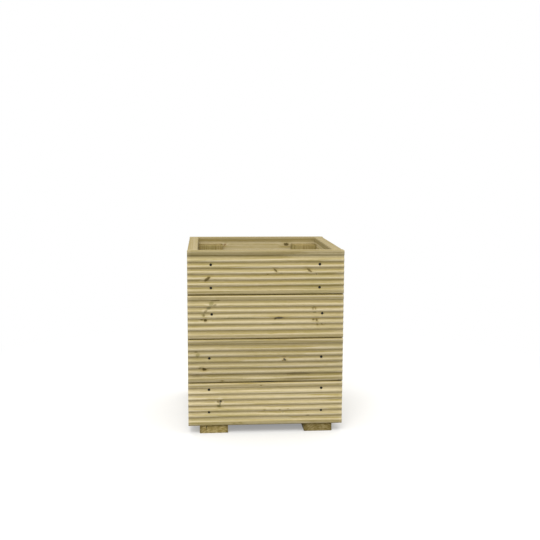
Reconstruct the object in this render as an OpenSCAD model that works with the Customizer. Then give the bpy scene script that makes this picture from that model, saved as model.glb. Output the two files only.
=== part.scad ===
// Square outdoor planter of grooved deck boards, screwed to four corner posts and set on two runners.
// The origin is on the ground under the middle, the front faces -Y and +Z is up.
// Each wall is drawn as if it were the front wall and then turned to its side.

/* [Planter] */
// Width across the front, from board end to board end
planter_w = 420; // [380:1:640]
// Depth from the front face to the back face
planter_d = 420; // [380:1:640]
// Courses of boards in each wall
courses = 4; // [2:1:6]
// How far the posts stop below the rim
post_drop = 20; // [0:1:24]

/* [Deck boards] */
// Width of a deck board
board_w = 118.5; // [106:0.5:145]
// Thickness of a deck board
board_t = 28; // [24:0.5:36]
// Open joint between two courses
course_gap = 1.5; // [0.5:0.5:6]
// Rounding of the long edges on the grooved face
arris_r = 4.5; // [2:0.25:6]
// Rounding of the long edges on the plain back
back_arris_r = 2.5; // [1:0.25:4]

/* [Grooves] */
// Narrow grooves between the two outer ones
inner_grooves = 4; // [3:1:5]
// Distance from ridge to ridge across a narrow groove
ridge_pitch = 16; // [13:0.25:17]
// Flat floor of the outer groove beside each edge band, which makes it that much wider
outer_floor_w = 2; // [0:0.25:4]
// Depth of all the grooves
groove_depth = 3; // [2:0.25:5]
// Radius of the rounded ridges
ridge_r = 6; // [4:0.25:8]

/* [Posts] */
// Width of a corner post, seen from the front
post_w = 75; // [60:1:95]
// Depth of a corner post, from front to back
post_d = 47; // [38:1:75]
// Rounding of the long edges of a post
post_r = 3; // [1:0.25:6]

/* [Floor] */
// Deck boards in the floor, cut to the width that fills it
floor_boards = 3; // [2:1:4]
// Drainage gap between two floor boards
drain_gap = 2.5; // [1:0.25:12]
// Clearance round the floor boards, at the walls and the posts
floor_clear = 1; // [0.5:0.25:4]
// Height of a floor bearer
bearer_h = 47; // [38:1:70]
// Thickness of a floor bearer
bearer_t = 25; // [19:0.5:38]
// Rounding of the long edges of a bearer
bearer_r = 2; // [0.5:0.25:4]

/* [Runners] */
// Thickness of the two runners that everything stands on, laid from front to back
runner_h = 22; // [16:0.5:38]
// Width of a runner
runner_w = 77; // [66:1:95]
// Rounding of the long edges of a runner
runner_r = 1.5; // [0.5:0.25:4]
// How far the ends of the runners lie behind the front and back faces
runner_setback = 5.5; // [0:0.5:20]
// Distance of the left runner from the left end of the front
left_runner_at = 30.5; // [20:0.5:40]
// Distance of the right runner from the right end of the front
right_runner_at = 27.5; // [20:0.5:40]

/* [Screws] */
// Diameter of the shank
screw_d = 4; // [3:0.1:5]
// Diameter of the countersunk head
head_d = 7; // [6:0.1:7.4]
// Thickness of the rim above the cone of the head
head_rim = 0.6; // [0.3:0.1:1.5]
// Length from the top of the head to the tip
screw_len = 50; // [40:1:55]
// Length of the tapered tip
tip_len = 6; // [3:0.5:10]
// How deep a head lies below the surface it is driven into
head_sink = 1; // [0.25:0.25:3]
// Distance of the screw line in the front and back walls from the outer side of the post
screw_line = 32.5; // [20:0.5:40]
// How much nearer to the middle of its board the screw in the narrow groove of a pair was set
pair_stray = 2.5; // [0:0.25:4]
// Step from the inner side of a post to the first bearer screw, and from there to the second
bearer_screw_step = 15; // [10:0.5:20]
// Height of the bearer screws above the lower edge of the bearer
bearer_screw_h = 12; // [8:0.5:16]
// Distance of the runner screws from the inner side of the post
runner_screw_inset = 40; // [36:0.5:46]
// Distance between the two runner screws of a post
runner_screw_step = 24; // [14:1:28]

/* [Fits] */
// Gap between a piece's sawn end and the wall that it meets
end_gap = 0.3; // [0.1:0.05:1]
// Clearance round a screw in the piece that it clamps
clamp_clear = 0.25; // [0.1:0.05:0.5]
// Clearance round a screw in the piece that it bites into
thread_clear = 0.1; // [0.05:0.05:0.3]

/* [Hidden] */
$fn = 48;
// How far a cutter starts outside the surface that it cuts
overshoot = 2;

WALLS = ["front", "back", "left", "right"];
// Turn of each wall from the front wall's place, in the order of their names
TURNS = [0, 180, -90, 90];
FLOOR_NAMES = [for (i = [1 : floor_boards]) str("floor_board_", i)];

// Space between the walls
inner_w = planter_w - 2 * board_t;
inner_d = planter_d - 2 * board_t;
wall_top = runner_h + courses * board_w + (courses - 1) * course_gap;
floor_top = runner_h + bearer_h + board_t;

// Grooves are numbered from 0 at the upper edge of a board, and the pattern is centred on it
groove_count = inner_grooves + 2;
outer_groove_at = ((inner_grooves + 1) * ridge_pitch + outer_floor_w) / 2;
// Sum of the radii at which a round ridge runs smoothly into the round side of a groove
wave_r = ((ridge_pitch / 2) ^ 2 + groove_depth ^ 2) / (2 * groove_depth);
floor_r = wave_r - ridge_r;
// Depth at which the ridge's curve turns into the groove's
turn_depth = groove_depth * ridge_r / wave_r;

// Floor boards lie side by side from the left wall to the right wall
floor_board_w = (inner_w - 2 * floor_clear - (floor_boards - 1) * drain_gap) / floor_boards;
bearer_mid = inner_d / 2 - post_d - bearer_t / 2;

// How far each course's screws were set towards the middle, from the top course down
left_stray = [2, 4, -3, -4.5];
right_stray = [5.5, -2.5, -1.5, -2.5];

board_color = [0.77, 0.71, 0.54];
post_color = [0.62, 0.55, 0.38];
floor_color = [0.72, 0.66, 0.48];
runner_color = [0.55, 0.49, 0.33];
screw_color = [0.13, 0.13, 0.14];

function is_outer(groove) = groove == 0 || groove == groove_count - 1;

// Height of a groove's centre above the middle of its board
function groove_at(groove) =
    is_outer(groove)
        ? (groove == 0 ? outer_groove_at : -outer_groove_at)
        : ((groove_count - 1) / 2 - groove) * ridge_pitch;

// Height of the lower edge of a course, counted from 1 at the rim
function course_z(course) = wall_top - course * board_w - (course - 1) * course_gap;

// Grooves that hold a course's screws: a pair in the top and bottom courses, one in the others.
// Side walls use other grooves than the front and back, so that the screws pass in the post.
function screw_grooves(course, side_wall) =
    let (last = groove_count - 1, middle = floor(last / 2))
    course == 1 ? (side_wall ? [2, last - 1] : [1, last])
    : course == courses ? (side_wall ? [1, last] : [0, last - 1])
    : [side_wall ? middle + 1 : middle];

// Height of a course's screw above the middle of its board
function screw_up(course, groove) =
    let (up = groove_at(groove), paired = course == 1 || course == courses)
    paired && !is_outer(groove) ? up - sign(up) * pair_stray : up;

// Distance of a screw from the middle of its wall, towards the end given as -1 or 1
function screw_at(course, side_wall, end) =
    let (strays = end < 0 ? left_stray : right_stray, stray = strays[(course - 1) % len(strays)])
    end * (side_wall ? inner_d / 2 - post_d / 2 - stray : inner_w / 2 - screw_line - stray);

// Cutter that rounds the corner at the origin of material lying at positive x and y
module edge_round(r) {
    difference() {
        translate([-overshoot, -overshoot]) square(r + overshoot);
        translate([r, r]) circle(r);
    }
}

// Rounds all four corners of a bar's section, centred on the origin
module bar_section(w, h, r) {
    difference() {
        square([w, h], center = true);
        for (side = [0, 1], end = [0, 1])
            mirror([side, 0]) mirror([0, end]) translate([-w / 2, -h / 2]) edge_round(r);
    }
}

// Cutter from ridge to ridge for a groove in a face along the y axis, with the material at positive x
module groove_cut(floor_w) {
    half_w = (ridge_pitch + floor_w) / 2;
    difference() {
        translate([-overshoot, -half_w]) square([overshoot + turn_depth, 2 * half_w]);
        for (side = [-1, 1]) translate([ridge_r, side * half_w]) circle(ridge_r);
    }
    for (side = [-1, 1]) translate([groove_depth - floor_r, side * floor_w / 2]) circle(floor_r);
    if (floor_w > 0) translate([0, -floor_w / 2]) square([groove_depth, floor_w]);
}

// Section of a deck board: plain back on x = 0, grooved face at -board_t, width up the y axis
module board_section(w) {
    difference() {
        translate([-board_t, 0]) square([board_t, w]);
        for (end = [0, 1]) translate([0, w / 2]) mirror([0, end]) translate([0, -w / 2]) {
            translate([-board_t, 0]) edge_round(arris_r);
            mirror([1, 0]) edge_round(back_arris_r);
        }
        for (groove = [0 : groove_count - 1])
            translate([-board_t, w / 2 + groove_at(groove)])
                groove_cut(is_outer(groove) ? outer_floor_w : 0);
    }
}

// Screw along z with the top of its head at 0, or the hole for it when it is grown
module screw(grow = 0) {
    head_r = head_d / 2;
    shank_r = screw_d / 2;
    cone_end = head_rim + head_r - shank_r;
    lid = grow > 0 ? head_sink + groove_depth + overshoot : 0;
    rotate_extrude() polygon([
        [0, lid],
        [head_r + grow, lid],
        [head_r + grow, -head_rim],
        [shank_r + grow, -cone_end],
        [shank_r + grow, tip_len - screw_len],
        [0, -screw_len - grow]
    ]);
}

// Moves the front wall's frame to another wall: y = 0 is the inner face, outwards is -y
module in_wall(turn) {
    rotate([0, 0, turn]) translate([0, turn % 180 == 0 ? -inner_d / 2 : -inner_w / 2, 0]) children();
}

// Screws of some courses of one wall, at one end or both
module wall_screws(side_wall, first = 1, last = courses, ends = [-1, 1], grow = 0) {
    for (course = [first : last], groove = screw_grooves(course, side_wall), end = ends)
        translate([
            screw_at(course, side_wall, end),
            groove_depth + head_sink - board_t,
            course_z(course) + board_w / 2 + screw_up(course, groove)
        ])
            rotate([90, 0, 0]) screw(grow);
}

// Two screws through each end of a bearer, drawn in the frame of the wall beside it
module bearer_screw_set(ends = [-1, 1], grow = 0) {
    for (end = ends, steps = [1, 2])
        translate([
            end * (inner_w / 2 - post_w + steps * bearer_screw_step),
            post_d + bearer_t - head_sink,
            runner_h + bearer_screw_h
        ])
            rotate([-90, 0, 0]) screw(grow);
}

// Two screws up through a runner into each post, with sides and ends given as lists of -1 and 1
module runner_screw_set(sides = [-1, 1], ends = [-1, 1], grow = 0) {
    for (side = sides, end = ends, step = [-1, 1])
        translate([
            side * (inner_w / 2 - post_w + runner_screw_inset),
            end * (inner_d - post_d) / 2 + step * runner_screw_step / 2,
            head_sink
        ])
            rotate([180, 0, 0]) screw(grow);
}

// Two screws through each floor board into each bearer, in the outer grooves of the board
module floor_screw_set(first = 1, last = floor_boards, ends = [-1, 1], grow = 0) {
    for (i = [first : last], side = [-1, 1], end = ends)
        translate([
            floor_board_x(i) + side * outer_groove_at,
            end * bearer_mid,
            floor_top - groove_depth - head_sink
        ])
            screw(grow);
}

// Middle of a floor board, counted from 1 at the left wall
function floor_board_x(i) =
    -inner_w / 2 + floor_clear + floor_board_w / 2 + (i - 1) * (floor_board_w + drain_gap);

// Middle of a runner, with side given as -1 for the left or 1 for the right
function runner_x(side) =
    side * (planter_w / 2 - runner_w / 2 - (side < 0 ? left_runner_at : right_runner_at));

// One board of a wall, with the holes for its own screws
module wall_board(turn, course) {
    side_wall = turn % 180 != 0;
    length = side_wall ? inner_d - 2 * end_gap : planter_w;
    color(board_color) in_wall(turn) difference() {
        translate([0, 0, course_z(course)])
            rotate([90, 0, 90]) linear_extrude(length, center = true) board_section(board_w);
        wall_screws(side_wall, course, course, grow = clamp_clear);
    }
}

// Corner post, with side and end given as -1 or 1 for left or right and for front or back
module post(side, end) {
    color(post_color) difference() {
        translate([side * (inner_w - post_w) / 2, end * (inner_d - post_d) / 2, runner_h])
            linear_extrude(wall_top - post_drop - runner_h) bar_section(post_w, post_d, post_r);
        in_wall(end < 0 ? 0 : 180) {
            wall_screws(false, ends = [-side * end], grow = thread_clear);
            bearer_screw_set(ends = [-side * end], grow = thread_clear);
        }
        in_wall(side * 90) wall_screws(true, ends = [side * end], grow = thread_clear);
        runner_screw_set([side], [end], thread_clear);
    }
}

// Bearer across the inner faces of two posts, with end given as -1 for the front or 1 for the back
module bearer(end) {
    color(floor_color) difference() {
        in_wall(end < 0 ? 0 : 180) difference() {
            translate([0, post_d + bearer_t / 2, runner_h + bearer_h / 2])
                rotate([90, 0, 90]) linear_extrude(inner_w - 2 * end_gap, center = true)
                    bar_section(bearer_t, bearer_h, bearer_r);
            bearer_screw_set(grow = clamp_clear);
        }
        floor_screw_set(ends = [end], grow = thread_clear);
    }
}

// Floor board with its grooves up, cut out round the posts that it meets
module floor_board(i) {
    color(floor_color) difference() {
        translate([floor_board_x(i) - floor_board_w / 2, 0, runner_h + bearer_h])
            rotate([90, 0, 0]) linear_extrude(inner_d - 2 * floor_clear, center = true)
                rotate(-90) board_section(floor_board_w);
        for (side = [-1, 1], end = [-1, 1])
            translate([side * (inner_w - post_w) / 2, end * (inner_d - post_d) / 2, floor_top / 2])
                cube([post_w + 2 * floor_clear, post_d + 2 * floor_clear, floor_top * 2], center = true);
        floor_screw_set(i, i, grow = clamp_clear);
    }
}

// Runner under the walls, posts and bearers of one side
module runner(side) {
    color(runner_color) difference() {
        translate([runner_x(side), 0, runner_h / 2])
            rotate([90, 0, 0]) linear_extrude(planter_d - 2 * runner_setback, center = true)
                bar_section(runner_w, runner_h, runner_r);
        runner_screw_set(sides = [side], grow = clamp_clear);
    }
}

module wall_screw_group(turn) {
    color(screw_color) in_wall(turn) wall_screws(turn % 180 != 0);
}

module bearer_screws() {
    color(screw_color) for (turn = [0, 180]) in_wall(turn) bearer_screw_set();
}

module floor_screws() {
    color(screw_color) floor_screw_set();
}

module runner_screws() {
    color(screw_color) runner_screw_set();
}

for (w = [0 : len(WALLS) - 1]) {
    for (course = [1 : courses])
        wall_board(TURNS[w], course);
    wall_screw_group(TURNS[w]);
}
post(-1, -1);  // post_front_left
post(1, -1);  // post_front_right
post(-1, 1);  // post_back_left
post(1, 1);  // post_back_right
bearer(-1);  // bearer_front
bearer(1);  // bearer_back
for (i = [1 : floor_boards])
    floor_board(i);
runner(-1);  // runner_left
runner(1);  // runner_right
bearer_screws();
floor_screws();
runner_screws();
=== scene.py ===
"""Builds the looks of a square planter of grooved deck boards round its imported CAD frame.

Every timber is drawn in a frame of its own: x runs along the grain from the middle, z across
the width, and the grooved or outer face looks along -y. Its object's matrix puts it in place.
Places and main sizes are read from the frame. Lengths are in metres, in materials in mm.
"""
import math
from collections import namedtuple
from itertools import product

import bmesh
import bpy
import numpy as np
from mathutils import Matrix, Vector


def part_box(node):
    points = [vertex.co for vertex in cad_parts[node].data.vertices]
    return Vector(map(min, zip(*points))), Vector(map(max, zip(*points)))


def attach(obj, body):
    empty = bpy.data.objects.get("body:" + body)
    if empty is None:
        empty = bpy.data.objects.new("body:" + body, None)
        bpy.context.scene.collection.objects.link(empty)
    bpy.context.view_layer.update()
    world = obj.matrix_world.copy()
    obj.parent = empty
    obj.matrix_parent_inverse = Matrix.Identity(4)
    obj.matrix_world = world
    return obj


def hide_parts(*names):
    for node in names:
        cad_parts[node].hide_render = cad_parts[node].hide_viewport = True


MM = 0.001

# Section of a deck board, the same as in the part's source
GROOVES = 6
RIDGE_PITCH = 16 * MM
RIDGE_RADIUS = 6 * MM
GROOVE_DEPTH = 3 * MM
OUTER_FLOOR = 2 * MM
FACE_ARRIS = 4.5 * MM
BACK_ARRIS = 2.5 * MM

# Rounding of the plain timbers' edges
PLAIN_ARRIS = {"post": 3 * MM, "floor_timber": 2 * MM, "runner": 1.5 * MM}

# Points of a section: over a grooved face, over a plain one, over a back and round an edge
GROOVED_POINTS = 97
PLAIN_POINTS = 41
BACK_POINTS = 12
ARRIS_POINTS = 6

# Edges sharper than this are kept sharp, in degrees
SHARP_ANGLE = 32

# Screws, the same as in the part's source, where all are of one length, and the room round them
HEAD_RADIUS = 3.5 * MM
HEAD_RIM = 0.6 * MM
SHANK_RADIUS = 2 * MM
CONE_END = HEAD_RIM + HEAD_RADIUS - SHANK_RADIUS
TIP_LENGTH = 6 * MM
HOLE_CLEARANCE = 0.25 * MM
SCREW_SIDES = 20
HOLE_SIDES = 32

# Points of a CAD mesh that are closer than this are one, and the number of places along a screw
# that are looked at to see which timbers it goes through
WELD_DISTANCE = 0.001 * MM
SCREW_CHECKS = 26

# What the scene takes off a screw's head and shank, the bevel of its rim and its blunt tip
HEAD_SLACK = 0.05 * MM
SHANK_SLACK = 0.2 * MM
BEVEL_WIDTH = 0.25 * MM
BEVEL_HEIGHT = 0.15 * MM
BLUNT_RADIUS = 0.15 * MM
BLUNT_LENGTH = 0.2 * MM

# Thread, which starts at this share of the screw's length and soon reaches its full depth
THREAD_START = 0.3
THREAD_RISE = 0.5 * MM
THREAD_PITCH = 2.4 * MM
THREAD_DEPTH = 0.55 * MM

# Cross in a screw's head: half the width of an arm, and the size of its floor as a share
CROSS_ARM = 0.6 * MM
CROSS_REACH = 2.2 * MM
CROSS_DEPTH = 2.2 * MM
CROSS_TAPER = 0.45

# How the timbers differ from their exact shapes, nearly always inwards
EDGE_LOSS = 0.12 * MM
EDGE_SWAY = 0.12 * MM
FACE_HOLLOW = 0.3 * MM
BACK_HOLLOW = 0.1 * MM
GROOVE_WANDER = 0.15 * MM
SAW_LOSS = 0.4 * MM
NOTCH_CLEARANCE = 1 * MM

# Shares by which the grooves change in depth along a board, and the wear round a section
GROOVE_CHANGE = 0.05
WEAR_CHANGE = 0.6

# How far it is from one turn of a smooth change to the next: along a timber, across its face
# ("height") and, for the wear of an end, in points round the section
TURN_STEPS = {
    "wander": 90 * MM,
    "deepness": 70 * MM,
    "hollow": 110 * MM,
    "height": 40 * MM,
    "back": 60 * MM,
    "sway": 160 * MM,
    "split": 14 * MM,
    "wear": 7,
}

# Dents of a timber: their number, least and greatest reach and depth in mm, and how many times
# as far they reach along the grain
DENTS = 6
DENT_REACH = (3, 8)
DENT_DEPTH = (0.2, 0.7)
DENT_STRETCH = 2.2

# Sections along a timber: the step between them, those near an end and the wear of the first two
STATION_STEP = 3 * MM
END_STATIONS = (0, 0.35 * MM, 1.1 * MM)
END_WEAR = (0.5 * MM, 0.14 * MM)

# Drying split in the top of the left foot, from its front end; its centre is left of the middle
FOOT_SPLIT = {"centre": 20 * MM, "width": 2 * MM, "depth": 20 * MM, "reach": 60 * MM}

# How far a split sways to either side, and the share of its width that the line past it keeps
SPLIT_SWAY = 0.6 * MM
SPLIT_TIP = 0.05

# Camera, turned a little to the right and looking down; angles in degrees
CAMERA_PLACE = (-0.1637, -2.3140, 0.7267)
CAMERA_TURN = 4.714
CAMERA_DIP = 7.512
CAMERA_ROLL = 0.27
LENS_MM = 53.33
SENSOR_MM = 36

# Turn of each wall from the front wall's place, in degrees
WALL_TURNS = {"front": 0, "back": 180, "left": -90, "right": 90}

# Knots of the front boards, from the top: x and height from the board's middle, length, width
# (all in mm), upward slant in degrees, strength and kind; longer marks are stains in the fibre
Knot = namedtuple("Knot", "x height length width slant strength kind")
LONGEST_KNOT = 40
FRONT_KNOTS = {
    1: [(-156.6, -16, 18, 8, 38, 0.8, "dark"), (-152.8, -12.6, 9, 7, 10, 0.65, "dark"),
        (4, -5.9, 4, 3, 0, 0.6, "dark"), (25, 5.6, 12, 5, -42, 0.85, "dark"),
        (116, 5.2, 14, 6, -35, 0.75, "dark"), (135, -4.8, 5, 3, -20, 0.7, "dark"),
        (40, -2.1, 8, 4, 0, 0.3, "dark"), (76, -2.4, 8, 4, 0, 0.2, "dark"),
        (150, 46.3, 190, 12.5, 0, 0.35, "pale")],
    2: [(-136, 45.2, 24, 4, 2, 0.65, "dark"), (-146, 36.5, 13, 10, 30, 0.5, "green"),
        (-137, 33.6, 9, 5, 20, 0.45, "dark"), (-153, 25.1, 11, 8, 10, 0.65, "grey"),
        (-162, 16.6, 11, 6, 40, 0.45, "dark"), (-168, 6.2, 10, 9, 0, 0.3, "green"),
        (-166.8, 5.6, 6, 7, 0, 0.5, "dark"), (-162.4, -7.8, 9, 7.5, -20, 0.95, "dark"),
        (-172.5, -6.4, 8, 4, 0, 0.65, "dark"), (-75, -2.6, 100, 5, 0, 0.5, "green"),
        (-75, 6.4, 150, 3.5, 1, 0.4, "pale"), (35, -2.9, 26, 6, 2, 0.8, "blue"),
        (25, -5.4, 8, 4, 20, 0.7, "dark"), (28, -20, 30, 6, 0, 0.25, "green"),
        (126.5, 22.4, 5, 7, 0, 0.5, "dark"), (130, 25.6, 7, 3.5, 0, 0.45, "dark"),
        (133.4, 22, 5, 6, 0, 0.45, "dark"), (131.5, 11.5, 11, 5, 0, 0.45, "green"),
        (128, -8.6, 7, 5, 0, 0.7, "dark"), (137.2, -9.9, 8, 6, -60, 0.7, "dark"),
        (139, -22.2, 7, 5, -35, 0.5, "dark"), (151.2, -21.3, 7, 4, -30, 0.5, "dark")],
    3: [(-188, 26, 9, 6, 0, 0.45, "dark"), (-184, 16.8, 12, 10, 60, 0.45, "green"),
        (-166.3, -22, 12, 8.5, -8, 0.95, "dark"), (-178.5, -18.4, 8, 5, 50, 0.5, "dark"),
        (-173, -16, 12, 5, 10, 0.35, "green"), (-186, -39.5, 34, 8, 0, 0.3, "dark"),
        (-118, -54, 7, 4, 0, 0.4, "dark"), (51, 2.4, 8, 5.5, -30, 0.9, "dark"),
        (51, 2.4, 8, 5.5, -30, 0.6, "blue"), (45.6, -0.2, 6, 4, 30, 0.5, "dark"),
        (50, 9, 11, 5, 0, 0.3, "red"), (88, -37, 76, 9, 0, 0.42, "dark"),
        (-85, 53, 200, 2.6, 0.4, 0.35, "dark"), (-12, -48, 96, 6, 0, 0.45, "pale"),
        (90, -51, 80, 6, 0, 0.3, "dark"), (0, -37.5, 440, 8, 0, 0.25, "dark"),
        (-9, -58.5, 76, 4, 0, 0.8, "blue"), (203, -58, 14, 4, 0, 0.8, "blue")],
    4: [(-129, 7, 9, 6, -35, 0.55, "dark"), (-122.8, 8.6, 7, 6.5, 0, 0.85, "dark"),
        (-122.8, 8.6, 6, 5, 0, 0.5, "blue"), (-127, -4.5, 11, 7, -15, 0.75, "green"),
        (-124, 2.5, 9, 4, 80, 0.5, "blue"), (-13, 52, 6, 4, 0, 0.5, "dark"),
        (-86, -53, 8, 4, 0, 0.35, "green"), (-69, -52, 10, 5, 0, 0.25, "green"),
        (-3, -17, 6, 4, 0, 0.25, "dark"), (38, -17.9, 6, 3, 0, 0.3, "dark"),
        (47, -24.9, 6, 4, 0, 0.3, "dark"), (115, -34.8, 10, 4, 0, 0.45, "dark"),
        (61, -14.7, 6, 3, 0, 0.2, "dark")],
}
KNOT_COLOURS = {
    "dark": (0.105, 0.078, 0.020),
    "green": (0.200, 0.190, 0.070),
    "grey": (0.150, 0.155, 0.090),
    "blue": (0.060, 0.068, 0.080),
    "red": (0.260, 0.150, 0.065),
    "pale": (0.680, 0.600, 0.390),
}
KNOT_RING_COLOUR = (0.05, 0.03, 0.01)

# Least number of knots in any other timber, and the number that it stays below
RANDOM_KNOTS = (3, 7)

# Greatest distance to a knot that is told apart, where 1 is at the knot's rim, and how ragged
# that rim is
NO_KNOT = 9.0
KNOT_RAGGEDNESS = 0.9

# Brightness of the timbers in front against their kind; the others get one at random
TONES = {
    "front_board_1": 0.985,
    "front_board_2": 1.00,
    "front_board_3": 0.915,
    "front_board_4": 1.07,
    "runner_left": 1.18,
    "runner_right": 0.82,
}
RANDOM_TONES = (0.93, 1.05)

# Share of dust and painted shade in the grooves of the front boards; the other boards have the
# last one
GROOVE_DUST_AND_SHADE = {
    "front_board_1": 0.36,
    "front_board_2": 0.30,
    "front_board_3": 0.32,
    "front_board_4": 0.02,
    "other": 0.36,
}

# Darkening along the edges of the deck boards, as its reach in mm and its strength: painted
# shade along the top of the rim, grime and painted shade beside the joints. Each joint, from the
# top one down, has that of the edge above it and that of the edge below it.
RIM_SHADE = (19, 0.37)
JOINT_GRIME_AND_SHADE = (
    ((2.2, 0.40), (1.4, 0.20)),
    ((2.2, 0.02), (1.4, 0.02)),
    ((2.2, 0.25), (1.4, 0.20)),
)

# Colours and habits of the woods: early and late wood of a year, the stain of the treatment,
# thickness of a year in mm, strength of its bands, share of the stain and depth of the saw marks
WOODS = {
    "deck_board": {"light": (0.612, 0.534, 0.360), "dark": (0.335, 0.258, 0.055),
                   "green": (0.350, 0.345, 0.145), "year": 4.5, "contrast": 0.35,
                   "green_share": 0.14, "sawn": 0.12},
    "post": {"light": (0.400, 0.320, 0.140), "dark": (0.240, 0.175, 0.060),
             "green": (0.250, 0.240, 0.085), "year": 5.5, "contrast": 0.60,
             "green_share": 0.35, "sawn": 0.6},
    "floor_timber": {"light": (0.480, 0.400, 0.200), "dark": (0.300, 0.230, 0.090),
                     "green": (0.260, 0.270, 0.110), "year": 5.0, "contrast": 0.60,
                     "green_share": 0.30, "sawn": 0.3},
    "runner": {"light": (0.560, 0.465, 0.230), "dark": (0.290, 0.218, 0.065),
               "green": (0.300, 0.290, 0.110), "year": 6.0, "contrast": 0.65,
               "green_share": 0.35, "sawn": 0.8},
}
RESIN = (0.400, 0.290, 0.100)
# Dark brown of grime, and of painted shade along the board edges and on the end cuts
SHADE_AND_GRIME = (0.120, 0.085, 0.010)

# Tints that multiply a timber's colour: warmer painted shade in the grooves, a browner band
# beside a long edge, browner painted shade on the long edge itself, a greyer painted shadow on the
# open edge at the rim, and on an end cut
GROOVE_SHADE_TINT = (1.0, 0.985, 0.91)
BAND_TINT = (0.70, 0.67, 0.53)
EDGE_SHADE_TINT = (1.0, 0.96, 0.78)
RIM_SHADE_TINT = (0.85, 0.85, 0.92)
END_TINT = (0.72, 0.70, 0.62)

# Noises in the wood: size of a cell in mm along the grain, through the timber and across it,
# detail and roughness
NOISES = {
    "coarse": ((450, 3.2, 3.2), 3, 0.55),
    "fine": ((80, 0.5, 0.5), 3, 0.6),
    "lines": ((500, 1.2, 1.2), 2, 0.55),
    "flecks": ((16, 2.0, 2.0), 2, 0.7),
    "patches": ((200, 60, 60), 2, 0.55),
    "wander": ((400, 160, 160), 2, 0.55),
    "ripple": ((120, 30, 30), 3, 0.55),
    "knot_edge": ((5, 9, 4), 3, 0.5),
    "saw": ((1.1, 9, 9), 2, 0.5),
}

# How strongly each of the noises darkens the wood's face
FIBRE = {"coarse": 1.1, "fine": 0.8, "lines": 1.2, "flecks": 0.75}

# Noises over an end cut: size of a cell in mm through the timber and across it, and detail
END_NOISES = {"blotches": ((7, 9), 3), "saw": ((16, 0.9), 3)}

# Pith of a timber, in half widths behind its middle and to either side, and how steeply it runs
PITH_DEPTH = (0.6, 2.2)
PITH_SIDE = 1.0
PITH_SLOPE = 0.015

# Sizes in mm of what the rings round the pith do: wander, ripple and bulge round a knot
RING_WANDER = 8
RING_RIPPLE = 1.5
KNOT_BULGE = 2

# Shares of the marks in the wood's relief, and the strength and height of the whole
FIBRE_RELIEF = {"fine": 0.22, "coarse": 0.15}
LATE_RELIEF = 0.10
END_SAW_RELIEF = 0.8
KNOT_RELIEF = 0.2
RELIEF_STRENGTH = 0.6
RELIEF_HEIGHT = 0.5 * MM

# Sheen of the wood: its roughness, what the fibre adds to that, and its specular level
WOOD_ROUGHNESS = 0.68
FIBRE_ROUGHNESS = 0.2
WOOD_SPECULAR = 0.12

# The screws' dark wax and the steel where it is worn through
WAX = (0.020, 0.018, 0.017)
WORN_STEEL = (0.075, 0.062, 0.050)

# The floor: its reach to every side, its colour as seen, the darker one of the light that it
# throws back, and the middle of its shadow, where the white glow painted over that shadow is
# weakest and the floor turns white last
GROUND_REACH = 12.0
GROUND_SEEN = (0.80, 0.80, 0.80)
GROUND_LIT = (0.16, 0.15, 0.13)
SHADOW_MIDDLE = (0, 0.09, 0)
WHITE = (1, 1, 1)

# The overcast sky: its colour, and its strength at the horizon and straight above
SKY_COLOUR = (1.0, 0.985, 0.95)
HORIZON_STRENGTH = 0.70
ZENITH_STRENGTH = 1.75

# The softbox in front and above: place, point it looks at, diameter and power in watts
LAMP_PLACE = (-0.6, -2.6, 3.2)
LAMP_TARGET = (0, 0, 0.25)
LAMP_SIZE = 1.6
LAMP_POWER = 55

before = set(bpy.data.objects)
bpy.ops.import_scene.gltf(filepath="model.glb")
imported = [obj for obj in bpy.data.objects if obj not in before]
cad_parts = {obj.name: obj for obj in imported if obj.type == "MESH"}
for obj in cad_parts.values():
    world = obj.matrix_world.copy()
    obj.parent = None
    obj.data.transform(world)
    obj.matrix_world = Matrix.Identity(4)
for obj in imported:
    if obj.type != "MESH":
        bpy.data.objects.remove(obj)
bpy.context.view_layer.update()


def drift(rng, places, step):
    """Smooth random curve between -1 and 1 over places, with a new turn at every step."""
    start = places.min() - step
    values = rng.uniform(-1, 1, int((places.max() - start) / step) + 3)
    index, share = np.divmod((places - start) / step, 1.0)
    index = index.astype(int)
    share = share * share * (3 - 2 * share)
    return values[index] * (1 - share) + values[index + 1] * share


# Meshes

def closed_mesh(name, vertices, faces):
    """Mesh with all its faces turned outwards."""
    mesh = bpy.data.meshes.new(name)
    mesh.from_pydata(vertices, [], faces)
    shape = bmesh.new()
    shape.from_mesh(mesh)
    bmesh.ops.recalc_face_normals(shape, faces=shape.faces)
    shape.to_mesh(mesh)
    shape.free()
    return mesh


def skin(rings, count):
    """Faces of a closed shape through this many rings, each of count points."""
    ring = np.arange(count)
    after = np.roll(ring, -1)
    faces = [ring.tolist(), (ring + (rings - 1) * count).tolist()]
    for near in range(0, (rings - 1) * count, count):
        far = near + count
        faces += np.stack([near + ring, near + after, far + after, far + ring], axis=1).tolist()
    return faces


def box_mesh(name, low, high):
    corners = list(product(*zip(low, high)))
    faces = [(0, 1, 3, 2), (4, 6, 7, 5), (0, 4, 5, 1), (2, 3, 7, 6), (0, 2, 6, 4), (1, 5, 7, 3)]
    return closed_mesh(name, corners, faces)


def new_object(name, mesh, matrix=Matrix.Identity(4)):
    obj = bpy.data.objects.new(name, mesh)
    obj.matrix_world = matrix
    bpy.context.scene.collection.objects.link(obj)
    return obj


def cut(obj, cutter):
    """Takes the cutter's room out of the object and removes the cutter."""
    step = obj.modifiers.new("cut", "BOOLEAN")
    step.operation = "DIFFERENCE"
    step.solver = "EXACT"
    step.object = cutter
    bpy.context.view_layer.update()
    graph = bpy.context.evaluated_depsgraph_get()
    made = bpy.data.meshes.new_from_object(obj.evaluated_get(graph))
    obj.modifiers.clear()
    obj.data = made
    bpy.data.objects.remove(cutter)


def shade(mesh):
    """Smooth shading that keeps the sharp edges."""
    mesh.shade_smooth()
    mesh.set_sharp_from_angle(angle=math.radians(SHARP_ANGLE))


# Timbers

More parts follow.
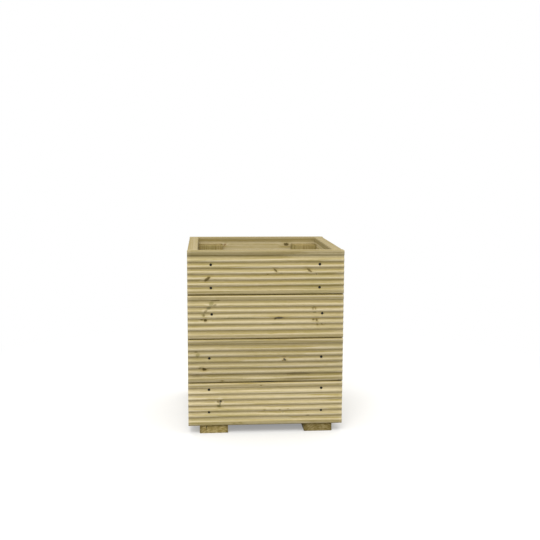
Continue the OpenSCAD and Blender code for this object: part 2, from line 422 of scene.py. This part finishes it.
def groove_wave(heights):
    """Depth of the grooved face below its ridges, at heights above the board's middle."""
    radii = ((RIDGE_PITCH / 2) ** 2 + GROOVE_DEPTH ** 2) / (2 * GROOVE_DEPTH)
    floor_radius = radii - RIDGE_RADIUS
    turn = RIDGE_PITCH / 2 * floor_radius / radii
    outer = ((GROOVES - 1) * RIDGE_PITCH + OUTER_FLOOR) / 2
    inner = (np.arange(1, GROOVES - 1) - (GROOVES - 1) / 2) * RIDGE_PITCH
    depth = np.zeros_like(heights)
    for centre, flat in [(-outer, OUTER_FLOOR), (outer, OUTER_FLOOR), *((c, 0) for c in inner)]:
        side = np.maximum(np.abs(heights - centre) - flat / 2, 0)
        floor = GROOVE_DEPTH - floor_radius + np.sqrt(np.maximum(floor_radius ** 2 - side ** 2, 0))
        rest = np.clip(RIDGE_PITCH / 2 - side, 0, RIDGE_RADIUS)
        ridge = RIDGE_RADIUS - np.sqrt(RIDGE_RADIUS ** 2 - rest ** 2)
        depth = np.maximum(depth, np.where(side < turn, floor, ridge))
    return depth


def corner(centre_y, centre_z, radius, start):
    """Quarter circle of (y, z) points from the start angle, in degrees."""
    angles = np.radians(start + np.linspace(0, 90, ARRIS_POINTS))
    return np.stack([centre_y + radius * np.cos(angles), centre_z + radius * np.sin(angles)], axis=1)


def outline_of(width, thickness, face_radius, back_radius, face_points):
    """Closed section of a timber as (y, z) points, with a plain outer face."""
    y, z = thickness / 2, width / 2
    heights = np.linspace(z - face_radius, face_radius - z, face_points)[1:-1]
    back_heights = np.linspace(back_radius - z, z - back_radius, BACK_POINTS)[1:-1]
    return np.concatenate([
        corner(face_radius - y, z - face_radius, face_radius, 90),
        np.stack([np.full(len(heights), -y), heights], axis=1),
        corner(face_radius - y, face_radius - z, face_radius, 180),
        corner(y - back_radius, back_radius - z, back_radius, 270),
        np.stack([np.full(len(back_heights), y), back_heights], axis=1),
        corner(y - back_radius, z - back_radius, back_radius, 0),
    ])


def inward(outline):
    """Unit vectors that point into the section from each of its points."""
    along = np.roll(outline, -1, axis=0) - np.roll(outline, 1, axis=0)
    across = np.stack([-along[:, 1], along[:, 0]], axis=1)
    return across / np.linalg.norm(across, axis=1, keepdims=True)


def stations_of(length):
    """Places of the sections along a timber, closer together near its ends."""
    start = np.array(END_STATIONS)
    middle = np.linspace(-length / 2, length / 2, int(length / STATION_STEP) + 1)[1:-1]
    return np.concatenate([start - length / 2, middle, length / 2 - start[::-1]])


def wear_ends(sections, outline, rng):
    """Wears down the edges of both cuts, more in some places than in others."""
    around = np.arange(len(outline)) * 1.0
    for ring, loss in enumerate(END_WEAR):
        for end in (ring, len(sections) - 1 - ring):
            worn = loss * (1 + WEAR_CHANGE * drift(rng, around, TURN_STEPS["wear"]))
            sections[end, :, 1:] += inward(outline) * worn[:, None]


def sink_grooves(sections, outline, outer, rng):
    """Sinks the grooves, which wander a little across the board and in depth."""
    x = sections[:, 0, 0]
    wander = GROOVE_WANDER * drift(rng, x, TURN_STEPS["wander"])
    deepness = 1 + GROOVE_CHANGE * drift(rng, x, TURN_STEPS["deepness"])
    waves = groove_wave(outline[None, :, 1] + wander[:, None]) * deepness[:, None]
    sections[:, :, 1] += waves * (outer > 0.9)


def bend(sections, outline, outer, rng):
    """Makes the faces a little hollow, and the timber sway."""
    x = sections[:, 0, 0]
    hollow = drift(rng, x, TURN_STEPS["hollow"])[:, None]
    hollow = hollow + drift(rng, outline[:, 1], TURN_STEPS["height"])
    sections[:, :, 1] += FACE_HOLLOW * (0.5 + 0.25 * hollow) * outer
    back = BACK_HOLLOW * (1 + drift(rng, x, TURN_STEPS["back"]))[:, None]
    sections[:, :, 1] -= back * (outline[:, 0] > 0)
    sections[:, :, 2] += EDGE_SWAY * drift(rng, x, TURN_STEPS["sway"])[:, None]


def dent(sections, length, width, outer, rng):
    """Presses one dent into the outer face, mostly near an edge and longer than wide."""
    place_x = rng.uniform(-length / 2, length / 2)
    place_z = rng.choice([-1, 1]) * width / 2 * rng.uniform(0.7, 1)
    reach = rng.uniform(*DENT_REACH) * MM
    away_x = (sections[:, :, 0] - place_x) / (DENT_STRETCH * reach)
    away_z = (sections[:, :, 2] - place_z) / reach
    depth = rng.uniform(*DENT_DEPTH) * MM
    sections[:, :, 1] += depth * np.exp(-away_x ** 2 - away_z ** 2) * outer


def saw_end(sections, outline, length, width, side, rng):
    """Makes the cut at this end, -1 or 1, a little short and not quite square."""
    near = np.clip(side * sections[:, :, 0] / (length / 2), 0, 1)
    slant = 0.5 * rng.uniform(-1, 1) * outline[:, 1] / (width / 2)
    sections[:, :, 0] -= side * near * SAW_LOSS * rng.uniform(0.3, 1) * (0.5 + slant)


def split(sections, rng, centre, width, depth, reach):
    """Opens a drying split in the outer face, from the end at -x to its tip a reach further on."""
    x = sections[:, 0, 0]
    outer = sections[0, :, 1] < sections[0, :, 1].min() + 2 * MM
    nearest = int(np.argmin(np.where(outer, np.abs(sections[0, :, 2] - centre), 1)))
    line = centre + SPLIT_SWAY * drift(rng, x, TURN_STEPS["split"])
    share = np.clip(1 - (x - x[0]) / reach, 0, 1) ** 0.7
    for side in (-1, 1):
        sections[:, nearest + side, 2] = line - side * width / 2 * np.maximum(share, SPLIT_TIP)
    sections[:, nearest, 2] = line
    sections[:, nearest, 1] += depth * share


def timber_sections(size, rng, plain_arris, square_start):
    """Points of a timber of this (length, thickness, width), with the marks of sawing and use.

    A timber without a plain arris is a grooved deck board. A square start leaves the cut at -x
    as it is.
    """
    length, thickness, width = size
    width -= 2 * EDGE_LOSS
    grooved = plain_arris is None
    if grooved:
        outline = outline_of(width, thickness, FACE_ARRIS, BACK_ARRIS, GROOVED_POINTS)
    else:
        outline = outline_of(width, thickness, plain_arris, plain_arris, PLAIN_POINTS)
    x = stations_of(length)
    sections = np.empty((len(x), len(outline), 3))
    sections[:, :, 0] = x[:, None]
    sections[:, :, 1:] = outline
    outer = np.clip(-outline[:, 0] / (thickness / 2), 0, 1) ** 4
    wear_ends(sections, outline, rng)
    if grooved:
        sink_grooves(sections, outline, outer, rng)
    bend(sections, outline, outer, rng)
    for _ in range(DENTS):
        dent(sections, length, width, outer, rng)
    for side in (1,) if square_start else (-1, 1):
        saw_end(sections, outline, length, width, side, rng)
    return sections


# Screws

def find_screws(node):
    """Matrix and length of every screw in a CAD group; the matrix turns +z from the tip to the head."""
    shape = bmesh.new()
    shape.from_mesh(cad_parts[node].data)
    bmesh.ops.remove_doubles(shape, verts=shape.verts, dist=WELD_DISTANCE)
    waiting = set(shape.verts)
    found = []
    while waiting:
        edge = [waiting.pop()]
        group = set(edge)
        while edge:
            vertex = edge.pop()
            others = {link.other_vert(vertex) for link in vertex.link_edges} - group
            group |= others
            edge += others
        waiting -= group
        points = np.array([v.co for v in group])
        low, high = points.min(axis=0), points.max(axis=0)
        axis = int(np.argmax(high - low))
        middle = (low + high) / 2
        away = np.linalg.norm(np.delete(points - middle, axis, axis=1), axis=1)
        wide = points[away > (HEAD_RADIUS + SHANK_RADIUS) / 2, axis].mean()
        top = middle.copy()
        top[axis] = high[axis] if wide > middle[axis] else low[axis]
        outwards = Vector(top - middle).normalized()
        turn = outwards.to_track_quat("Z", "Y").to_matrix().to_4x4()
        found.append((Matrix.Translation(top) @ turn, float(high[axis] - low[axis])))
    shape.free()
    return sorted(found, key=lambda screw: tuple(round(v, 6) for v in screw[0].translation))


def lathe(profile, sides):
    """Closed (vertices, faces) of (radius, z, thread depth) points turned round z."""
    vertices = []
    for radius, z, thread in profile:
        for i in range(sides):
            turn = i / sides
            tooth = max(1 - abs((turn - z / THREAD_PITCH) % 1.0 - 0.5) * 4, 0) * thread
            away = radius + tooth
            angle = 2 * math.pi * turn
            vertices.append((away * math.cos(angle), away * math.sin(angle), z))
    return vertices, skin(len(profile), sides)


def cross_shape():
    """Cutter for the cross in a screw's head, narrower at its floor, as (vertices, faces)."""
    top = []
    for quarter in range(4):
        turn = Matrix.Rotation(-quarter * math.pi / 2, 2)
        arm = ((CROSS_ARM, CROSS_REACH), (CROSS_ARM, CROSS_ARM), (CROSS_REACH, CROSS_ARM))
        top += [turn @ Vector(p) for p in arm]
    vertices = [(p.x, p.y, MM) for p in top]
    vertices += [(p.x * CROSS_TAPER, p.y * CROSS_TAPER, -CROSS_DEPTH) for p in top]
    return vertices, skin(2, len(top))


def screw_shape(length):
    """One countersunk screw with a cross recess and a wound thread, as (vertices, faces)."""
    rim = HEAD_RADIUS - HEAD_SLACK
    shank = SHANK_RADIUS - SHANK_SLACK
    core = SHANK_RADIUS - THREAD_DEPTH
    neck = THREAD_START * length
    profile = [
        (HEAD_RADIUS - BEVEL_WIDTH, 0, 0),
        (rim, -BEVEL_HEIGHT, 0),
        (rim, -HEAD_RIM, 0),
        (shank, -CONE_END, 0),
        (shank, -neck, 0),
    ]
    for z in np.arange(neck + THREAD_RISE, length - TIP_LENGTH, THREAD_PITCH / 6):
        profile.append((core, -z, THREAD_DEPTH))
    profile.append((core, TIP_LENGTH - length, THREAD_DEPTH / 2))
    profile.append((BLUNT_RADIUS, BLUNT_LENGTH - length, 0))
    screw = new_object("screw", closed_mesh("screw", *lathe(profile, SCREW_SIDES)))
    cut(screw, new_object("recess", closed_mesh("recess", *cross_shape())))
    mesh = screw.data
    bpy.data.objects.remove(screw)
    return [tuple(v.co) for v in mesh.vertices], [tuple(p.vertices) for p in mesh.polygons]


def hole_shape(length):
    """Cutter for a screw's hole, open above the head, as (vertices, faces)."""
    head = HEAD_RADIUS + HOLE_CLEARANCE
    shank = SHANK_RADIUS + HOLE_CLEARANCE
    profile = [
        (head, 3 * GROOVE_DEPTH, 0),
        (head, -HEAD_RIM, 0),
        (shank, -CONE_END, 0),
        (shank, -length, 0),
    ]
    return lathe(profile, HOLE_SIDES)


def copies(name, shape, matrices):
    """One mesh with a copy of the (vertices, faces) shape at each matrix."""
    vertices, faces = [], []
    for matrix in matrices:
        first = len(vertices)
        vertices += [tuple(matrix @ Vector(v)) for v in shape[0]]
        faces += [tuple(first + i for i in face) for face in shape[1]]
    return closed_mesh(name, vertices, faces)


# Materials

class Shader:
    """The nodes of a material or of the world, with short ways to add to them."""

    def __init__(self, owner):
        owner.use_nodes = True
        self.owner = owner
        self.tree = owner.node_tree
        self.tree.nodes.clear()

    def add(self, kind, inputs, **settings):
        """New node with these inputs, each a value, a colour of three numbers or another's output."""
        node = self.tree.nodes.new(kind)
        for key, value in settings.items():
            setattr(node, key, value)
        for key, value in inputs.items():
            socket = node.inputs[key]
            if isinstance(value, bpy.types.NodeSocket):
                self.tree.links.new(value, socket)
            elif socket.type == "RGBA":
                socket.default_value = (*value, 1)
            else:
                socket.default_value = value
        return node

    def math(self, operation, *values):
        return self.add("ShaderNodeMath", dict(enumerate(values)), operation=operation).outputs[0]

    def point(self, x, y, z):
        return self.add("ShaderNodeCombineXYZ", {0: x, 1: y, 2: z}).outputs[0]

    def length(self, vector):
        return self.add("ShaderNodeVectorMath", {0: vector}, operation="LENGTH").outputs["Value"]

    def noise(self, vector, detail, roughness=0.5):
        inputs = {"Vector": vector, "Scale": 1.0, "Detail": detail, "Roughness": roughness}
        return self.add("ShaderNodeTexNoise", inputs).outputs[0]

    def fade(self, value, start, end, low=0.0, high=1.0):
        """Smooth step from low at start to high at end."""
        inputs = {0: value, 1: start, 2: end, 3: low, 4: high}
        return self.add("ShaderNodeMapRange", inputs, interpolation_type="SMOOTHSTEP").outputs[0]

    def mix(self, share, first, second, blend="MIX"):
        inputs = {0: share, 6: first, 7: second}
        return self.add("ShaderNodeMix", inputs, data_type="RGBA", blend_type=blend).outputs[2]

    def bump(self, height, strength, distance):
        inputs = {"Strength": strength, "Distance": distance, "Height": height}
        return self.add("ShaderNodeBump", inputs).outputs[0]

    def finish(self, inputs):
        surface = self.add("ShaderNodeBsdfPrincipled", inputs).outputs[0]
        self.add("ShaderNodeOutputMaterial", {"Surface": surface})
        return self.owner


class Wood(Shader):
    """Softwood in steps: each method finds a part of the figure, or adds one to a colour."""

    def __init__(self, name, look, tone, rng, size):
        super().__init__(bpy.data.materials.new(name))
        self.look = look
        self.light, self.dark = ([tone * part for part in look[key]] for key in ("light", "dark"))
        self.half_length, self.half_thickness, self.half_width = (v / MM / 2 for v in size)
        coords = self.add("ShaderNodeTexCoord", {}).outputs
        inputs = {0: coords["Object"], 1: (1 / MM, 1 / MM, 1 / MM)}
        place = self.add("ShaderNodeVectorMath", inputs, operation="MULTIPLY").outputs[0]
        self.x, self.y, self.z = self.add("ShaderNodeSeparateXYZ", {0: place}).outputs
        self.from_middle = self.math("ABSOLUTE", self.z)
        self.seed = rng.uniform(0, 900)
        self.shifted = self.math("ADD", self.x, self.seed * 50)
        facing = self.add("ShaderNodeSeparateXYZ", {0: coords["Normal"]}).outputs[0]
        self.end_cut = self.fade(self.math("ABSOLUTE", facing), 0.6, 0.9)

    def named_noise(self, name):
        """Noise through the whole timber, in other places for each timber."""
        cell, detail, roughness = NOISES[name]
        pairs = zip((self.shifted, self.y, self.z), cell)
        place = [self.math("DIVIDE", value, size) for value, size in pairs]
        return self.noise(self.point(*place), detail, roughness)

    def end_noise(self, name):
        """Noise over the end cuts, the same at both ends."""
        cell, detail = END_NOISES[name]
        place = [self.math("DIVIDE", value, size) for value, size in zip((self.y, self.z), cell)]
        return self.noise(self.point(self.seed, *place), detail)

    def swing(self, noise, strength):
        """The noise as a change that is as often below nothing as above it."""
        return self.math("MULTIPLY", self.math("SUBTRACT", noise, 0.5), strength)

    def knot_distance(self, knot, flat, roughen):
        """Distance from a knot's middle, 1 on its rim; flat is the point without its depth."""
        inputs = {
            "Vector": flat,
            "Location": (knot.x, 0, knot.height),
            "Rotation": (0, -math.radians(knot.slant), 0),
            "Scale": (knot.length / 2, 1, knot.width / 2),
        }
        local = self.add("ShaderNodeMapping", inputs, vector_type="TEXTURE").outputs[0]
        return self.math("ADD", self.length(local), roughen)

    def find_knots(self, knots):
        """Finds the distance to each knot and the least of them, where faint knots count as far."""
        roughen = self.swing(self.named_noise("knot_edge"), KNOT_RAGGEDNESS)
        flat = self.point(self.x, 0.0, self.z)
        self.knots = [(knot, self.knot_distance(knot, flat, roughen)) for knot in knots]
        self.nearest = NO_KNOT
        for knot, distance in self.knots:
            if knot.length <= LONGEST_KNOT:
                weighed = self.math("ADD", distance, 2 * (1 - knot.strength))
                self.nearest = self.math("MINIMUM", weighed, self.nearest)

    def find_bands(self, rng):
        """Finds the late wood of the years, in rings round a pith that lies behind the face.

        The pith wanders along the timber, and the rings bulge round the knots.
        """
        pith_y = rng.uniform(*PITH_DEPTH) * self.half_width
        pith_z = rng.uniform(-PITH_SIDE, PITH_SIDE) * self.half_width
        slope = rng.uniform(-PITH_SLOPE, PITH_SLOPE)
        wander = self.swing(self.named_noise("wander"), RING_WANDER)
        ripple = self.swing(self.named_noise("ripple"), RING_RIPPLE)
        rise = self.math("MULTIPLY", self.x, slope)
        from_pith_y = self.math("ADD", self.math("SUBTRACT", self.y, pith_y), rise)
        from_pith_z = self.math("ADD", self.math("SUBTRACT", self.z, pith_z), wander)
        radius = self.math("ADD", self.length(self.point(0.0, from_pith_y, from_pith_z)), ripple)
        radius = self.math("ADD", radius, self.fade(self.nearest, 4.5, 0.8, 0, KNOT_BULGE))
        year = self.math("FRACT", self.math("DIVIDE", radius, self.look["year"]))
        self.late = self.math("MULTIPLY", self.fade(year, 0.25, 0.88), self.fade(year, 1.0, 0.93))

    def find_fibre(self):
        self.fibre = {name: self.named_noise(name) for name in FIBRE}

    def face_colour(self):
        """Bands and fibre from light to dark, with patches of the treatment's green."""
        band = self.math("ADD", self.math("MULTIPLY", self.late, self.look["contrast"]), 0.15)
        for name, strength in FIBRE.items():
            band = self.math("ADD", band, self.swing(self.fibre[name], strength))
        base = self.mix(band, self.light, self.dark)
        green = self.fade(self.named_noise("patches"), 0.42, 0.72, 0, self.look["green_share"])
        return self.mix(green, base, self.look["green"])

    def groove_colour(self, base, groove_dust_and_shade):
        """Adds dust and algae in the grooves with painted shade, by their depth in mm.

        The deeper parts also get a warmer painted shade.
        """
        depth = self.math("ADD", self.y, self.half_thickness)
        dust_and_shade_share = self.math("MULTIPLY", self.fade(depth, 0.7, 3.4, 0, groove_dust_and_shade), self.fade(depth, 9, 5))
        base = self.mix(dust_and_shade_share, base, self.dark)
        # Warmer painted shade deeper in the grooves
        return self.mix(self.fade(depth, 0.7, 2.4), base, GROOVE_SHADE_TINT, "MULTIPLY")

    def edge_colour(self, base, edge_shade_and_grime, rim):
        """Adds a browner band beside the long edges, painted shade on the edges themselves, and the
        darkening beside them: painted shade along the rim, grime and painted shade at the joints.
        """
        from_edge = self.math("SUBTRACT", self.half_width, self.from_middle)
        inner = self.fade(from_edge, 14, 8, 0, 0.8)
        outer = self.fade(from_edge, 3, 7, 0.2, 1)
        base = self.mix(self.math("MULTIPLY", inner, outer), base, BAND_TINT, "MULTIPLY")
        # Browner painted shade on the long edges, and a greyer painted shadow on the rim's upper edge
        tint = self.mix(self.fade(self.z, -1, 1), EDGE_SHADE_TINT, RIM_SHADE_TINT) if rim else EDGE_SHADE_TINT
        base = self.mix(self.fade(from_edge, 3.5, 1), base, tint, "MULTIPLY")
        # Painted shade along the rim, grime and painted shade beside the joints
        for side, (reach, strength) in edge_shade_and_grime.items():
            from_side = self.math("SUBTRACT", self.half_width, self.math("MULTIPLY", self.z, side))
            base = self.mix(self.fade(from_side, reach, 0.7 * reach, 0, strength), base, SHADE_AND_GRIME)
        return base

    def knot_colour(self, base):
        """Adds the knots, their fine rings and the resin round them."""
        base = self.mix(self.fade(self.nearest, 2.6, 1.0, 0, 0.4), base, RESIN)
        for knot, distance in self.knots:
            share = self.fade(distance, 1.25, 0.7, 0, knot.strength)
            base = self.mix(share, base, KNOT_COLOURS[knot.kind])
        rings = self.math("FRACT", self.math("MULTIPLY", self.nearest, 3.3))
        share = self.math("MULTIPLY", self.fade(self.nearest, 1.1, 0.9, 0, 0.35), rings)
        return self.mix(share, base, KNOT_RING_COLOUR)

    def end_colour(self, base):
        """Adds the end cuts, which soak up more treatment and show the bands more strongly."""
        blotches = self.fade(self.end_noise("blotches"), 0.3, 0.7, -0.1, 0.75)
        band = self.math("ADD", self.math("MULTIPLY", self.late, 0.45), blotches)
        colour = self.mix(band, self.light, self.dark)
        # Painted shade towards the sides of each end cut, and along its outer face, which on a runner
        # is its top under the board above
        end_side_shade = self.fade(self.from_middle, self.half_width - 12, self.half_width, 0, 0.5)
        end_top_shade = self.fade(self.y, 8 - self.half_thickness, 1 - self.half_thickness, 0, 0.15)
        colour = self.mix(self.math("ADD", end_side_shade, end_top_shade), colour, SHADE_AND_GRIME)
        base = self.mix(self.end_cut, base, self.mix(0.85, colour, END_TINT, "MULTIPLY"))
        along = self.math("ABSOLUTE", self.x)
        near_end = self.fade(along, self.half_length - 14, self.half_length - 1, 0, 0.2)
        face = self.math("SUBTRACT", 1.0, self.end_cut)
        return self.mix(self.math("MULTIPLY", near_end, face), base, self.light)

    def relief(self):
        """Raised bands, fibre and the marks of the saw, which cross the end cuts."""
        end_saw = self.math("MULTIPLY", self.end_noise("saw"), self.end_cut)
        marks = [(self.fibre[name], share) for name, share in FIBRE_RELIEF.items()]
        marks += [(self.named_noise("saw"), self.look["sawn"]), (end_saw, END_SAW_RELIEF)]
        height = self.math("MULTIPLY", self.late, LATE_RELIEF)
        for mark, share in marks:
            height = self.math("ADD", height, self.math("MULTIPLY", mark, share))
        height = self.math("SUBTRACT", height, self.fade(self.nearest, 1.2, 1.0, 0, KNOT_RELIEF))
        return self.bump(height, RELIEF_STRENGTH, RELIEF_HEIGHT)


def wood(name, look, tone, rng, size, groove_dust_and_shade, knots, edge_shade_and_grime, rim):
    """Material of one timber, with bands and knots that run through its whole thickness.

    Tone is its brightness against others of its kind. Dust is the share of dust and painted shade
    in the grooves, 0 for a plain timber. Grime has the reach and strength of the darkening along a
    long edge, by the edge's sign: painted shade at the rim, grime and painted shade at the joints.
    Rim says whether its upper edge is the top of the planter, which gets a painted shadow.
    """
    s = Wood(name, look, tone, rng, size)
    s.find_knots(knots)
    s.find_bands(rng)
    s.find_fibre()
    base = s.face_colour()
    if groove_dust_and_shade:
        base = s.groove_colour(base, groove_dust_and_shade)
        base = s.edge_colour(base, edge_shade_and_grime, rim)
    base = s.knot_colour(base)
    base = s.end_colour(base)
    rough = s.math("MULTIPLY", s.fibre["coarse"], FIBRE_ROUGHNESS)
    return s.finish({
        "Base Color": base,
        "Roughness": s.math("ADD", rough, WOOD_ROUGHNESS),
        "Specular IOR Level": WOOD_SPECULAR,
        "Normal": s.relief(),
    })


def steel():
    """Dark waxed screw steel with traces of wear."""
    s = Shader(bpy.data.materials.new("screw_steel"))
    place = s.add("ShaderNodeTexCoord", {}).outputs["Object"]
    grain = s.add("ShaderNodeTexNoise", {"Vector": place, "Scale": 900.0, "Detail": 3.0}).outputs[0]
    worn = s.fade(grain, 0.55, 0.75, 0, 0.6)
    return s.finish({
        "Base Color": s.mix(worn, WAX, WORN_STEEL),
        "Metallic": 0.7,
        "Roughness": s.fade(grain, 0.3, 0.8, 0.62, 0.4),
        "Normal": s.bump(grain, 0.3, 0.1 * MM),
    })


# The planter

def holes_in(obj, low, high, screws):
    """Cuts the holes of those screws that pass through the room between low and high."""
    inside = []
    for matrix, length in screws:
        depths = np.linspace(0, 1, SCREW_CHECKS)
        points = [matrix @ Vector((0, 0, -depth * length)) for depth in depths]
        if any(all(a < here < b for a, here, b in zip(low, point, high)) for point in points):
            inside.append(matrix)
    if inside:
        cut(obj, new_object("holes", copies("holes", hole_shape(screws[0][1]), inside)))


def notches_in(obj, low, high):
    """Cuts a floor board out round the posts beside it, with a little room."""
    room = Vector((1, 1, 1)) * NOTCH_CLEARANCE
    for post in [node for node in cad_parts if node.startswith("post")]:
        post_low, post_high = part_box(post)
        if post_low.x < high.x and post_high.x > low.x:
            cut(obj, new_object("notch", box_mesh("notch", post_low - room, post_high + room)))


def random_knots(rng, length, width, count):
    """Knots for a timber whose own ones aren't seen."""
    knots = []
    for _ in range(count):
        x = rng.uniform(-0.48, 0.48) * length / MM
        height = rng.uniform(-0.42, 0.42) * width / MM
        long = rng.uniform(6, 18)
        kind = str(rng.choice(["dark", "dark", "green", "red"]))
        slant = rng.uniform(-40, 40)
        wide = long * rng.uniform(0.4, 0.8)
        knots.append(Knot(x, height, long, wide, slant, rng.uniform(0.3, 0.9), kind))
    return knots


def add_timber(node, number, slot, turn, screws, knots=None, crack=None, edge_shade_and_grime=None, rim=False):
    """Shows one timber in place of its CAD node; turn is the matrix from its own frame."""
    rng = np.random.default_rng(number)
    low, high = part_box(node)
    inverse = turn.transposed()
    size = [abs(v) for v in inverse @ (high - low)]
    grooved = "board" in node
    plain_arris = None if grooved else PLAIN_ARRIS[slot]
    sections = timber_sections(size, rng, plain_arris, square_start=slot == "post")
    if crack:
        split(sections, rng, **crack)
    mesh = closed_mesh(node + "_wood", sections.reshape(-1, 3).tolist(), skin(*sections.shape[:2]))
    obj = new_object(node + "_wood", mesh, Matrix.Translation((low + high) / 2) @ turn.to_4x4())
    if node.startswith("floor"):
        notches_in(obj, low, high)
    holes_in(obj, low, high, screws)
    if knots is None:
        knots = random_knots(rng, size[0], size[2], int(rng.integers(*RANDOM_KNOTS)))
    tone = TONES.get(node) or rng.uniform(*RANDOM_TONES)
    groove_dust_and_shade = GROOVE_DUST_AND_SHADE.get(node, GROOVE_DUST_AND_SHADE["other"]) if grooved else 0
    material = wood(node + "_wood", WOODS[slot], tone, rng, size, groove_dust_and_shade, knots, edge_shade_and_grime or {}, rim)
    obj.data.materials.clear()
    obj.data.materials.append(material)
    shade(obj.data)
    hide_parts(node)
    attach(obj, "root")


def add_screws(node, screws, material):
    shape = screw_shape(screws[0][1])
    rng = np.random.default_rng(len(node))
    spun = [matrix @ Matrix.Rotation(rng.uniform(0, 3), 4, "Z") for matrix, _ in screws]
    obj = new_object(node + "_steel", copies(node + "_steel", shape, spun))
    obj.data.materials.append(material)
    shade(obj.data)
    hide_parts(node)
    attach(obj, "root")


def add_wall_board(node, number, wall, course, courses, screws):
    """Shows a board of this course, counted from the top one, with grime and painted shade beside
    its joints, and painted shade along the rim if it is the top one.
    """
    turn = Matrix.Rotation(math.radians(WALL_TURNS[wall]), 3, "Z")
    knots = [Knot(*mark) for mark in FRONT_KNOTS[course]] if wall == "front" else None
    edge_shade_and_grime = {1: RIM_SHADE if course == 1 else JOINT_GRIME_AND_SHADE[course - 2][1]}
    if course < courses:
        edge_shade_and_grime[-1] = JOINT_GRIME_AND_SHADE[course - 1][0]
    add_timber(node, number, "deck_board", turn, screws, knots, edge_shade_and_grime=edge_shade_and_grime, rim=course == 1)


def add_planter():
    nodes = sorted(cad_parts)
    groups = {node: find_screws(node) for node in nodes if node.endswith("_screws")}
    screws = [screw for group in groups.values() for screw in group]
    upright = Matrix(((0, 0, -1), (0, 1, 0), (1, 0, 0)))
    face_up = Matrix(((0, 0, -1), (1, 0, 0), (0, -1, 0)))
    courses = sum(node.startswith("front_board") for node in nodes)
    for number, node in enumerate(nodes):
        wall, _, course = node.partition("_board_")
        if node in groups:
            continue
        if wall in WALL_TURNS:
            add_wall_board(node, number, wall, int(course), courses, screws)
        elif node.startswith("post"):
            outwards = 180 if "back" in node else 0
            turn = Matrix.Rotation(math.radians(outwards), 3, "Z") @ upright
            add_timber(node, number, "post", turn, screws)
        elif node.startswith("runner"):
            crack = FOOT_SPLIT if node == "runner_left" else None
            add_timber(node, number, "runner", face_up, screws, crack=crack)
        elif node.startswith("floor"):
            add_timber(node, number, "floor_timber", face_up, screws)
        else:
            add_timber(node, number, "floor_timber", Matrix.Identity(3), screws)
    material = steel()
    for node, group in groups.items():
        add_screws(node, group, material)


# The studio

def ground_material():
    """Pale floor that keeps the planter's soft shadow and runs out to white.

    Only the camera and reflections see it so; the light finds a darker floor.
    """
    s = Shader(bpy.data.materials.new("ground"))
    seen = s.add("ShaderNodeLightPath", {}).outputs
    direct = s.math("MAXIMUM", seen["Is Camera Ray"], seen["Is Glossy Ray"])
    place = s.add("ShaderNodeTexCoord", {}).outputs["Object"]
    base = s.mix(direct, GROUND_LIT, GROUND_SEEN)
    matt = s.add("ShaderNodeBsdfDiffuse", {"Color": base}).outputs[0]
    white = s.add("ShaderNodeEmission", {"Color": WHITE, "Strength": 1.0}).outputs[0]
    inputs = {0: place, 1: SHADOW_MIDDLE}
    from_shadow = s.add("ShaderNodeVectorMath", inputs, operation="DISTANCE").outputs["Value"]
    # Share of the floor's white glow as the camera sees it: painted light that lifts the planter's
    # shadow, least at the shadow's middle, and turns the floor white farther out
    shadow_glow_share = s.fade(from_shadow, 0.05, 0.28, 0.05, 0.3)
    far_glow_share = s.fade(s.length(place), 0.4, 1.3, 0, 0.7)
    share = s.math("MULTIPLY", s.math("ADD", shadow_glow_share, far_glow_share), direct)
    surface = s.add("ShaderNodeMixShader", {0: share, 1: matt, 2: white}).outputs[0]
    s.add("ShaderNodeOutputMaterial", {"Surface": surface})
    return s.owner


def add_ground():
    reach = GROUND_REACH
    corners = [(-reach, -reach, 0), (reach, -reach, 0), (reach, reach, 0), (-reach, reach, 0)]
    mesh = bpy.data.meshes.new("ground")
    mesh.from_pydata(corners, [], [(0, 1, 2, 3)])
    mesh.materials.append(ground_material())
    ground = new_object("ground", mesh)


def add_sky():
    """White behind the planter, and an overcast sky for the light."""
    world = bpy.data.worlds.new("sky")
    bpy.context.scene.world = world
    s = Shader(world)
    seen = s.add("ShaderNodeLightPath", {}).outputs
    direct = s.math("MAXIMUM", seen["Is Camera Ray"], seen["Is Transmission Ray"])
    towards = s.add("ShaderNodeTexCoord", {}).outputs["Generated"]
    up = s.add("ShaderNodeSeparateXYZ", {0: towards}).outputs["Z"]
    levels = {0: up, 1: 0.0, 2: 1.0, 3: HORIZON_STRENGTH, 4: ZENITH_STRENGTH}
    strength = s.add("ShaderNodeMapRange", levels).outputs[0]
    light = s.add("ShaderNodeBackground", {"Color": SKY_COLOUR, "Strength": strength}).outputs[0]
    plain = s.add("ShaderNodeBackground", {"Color": WHITE}).outputs[0]
    surface = s.add("ShaderNodeMixShader", {0: direct, 1: light, 2: plain}).outputs[0]
    s.add("ShaderNodeOutputWorld", {"Surface": surface})


def add_lamp():
    data = bpy.data.lights.new("front_top_softbox", "AREA")
    data.shape = "DISK"
    data.size = LAMP_SIZE
    data.energy = LAMP_POWER
    lamp = bpy.data.objects.new("front_top_softbox", data)
    lamp.location = LAMP_PLACE
    lamp.rotation_mode = "QUATERNION"
    lamp.rotation_quaternion = (Vector(LAMP_TARGET) - Vector(LAMP_PLACE)).to_track_quat("-Z", "Y")
    bpy.context.scene.collection.objects.link(lamp)


def add_camera():
    data = bpy.data.cameras.new("camera")
    data.sensor_width = SENSOR_MM
    data.lens = LENS_MM
    camera = bpy.data.objects.new("camera", data)
    turn = Matrix.Rotation(-math.radians(CAMERA_TURN), 4, "Z")
    dip = Matrix.Rotation(math.radians(90 - CAMERA_DIP), 4, "X")
    roll = Matrix.Rotation(math.radians(CAMERA_ROLL), 4, "Z")
    camera.matrix_world = Matrix.Translation(CAMERA_PLACE) @ turn @ dip @ roll
    bpy.context.scene.collection.objects.link(camera)
    bpy.context.scene.camera = camera


add_planter()
add_ground()
add_sky()
add_lamp()
add_camera()
bpy.context.scene.view_settings.view_transform = "Standard"
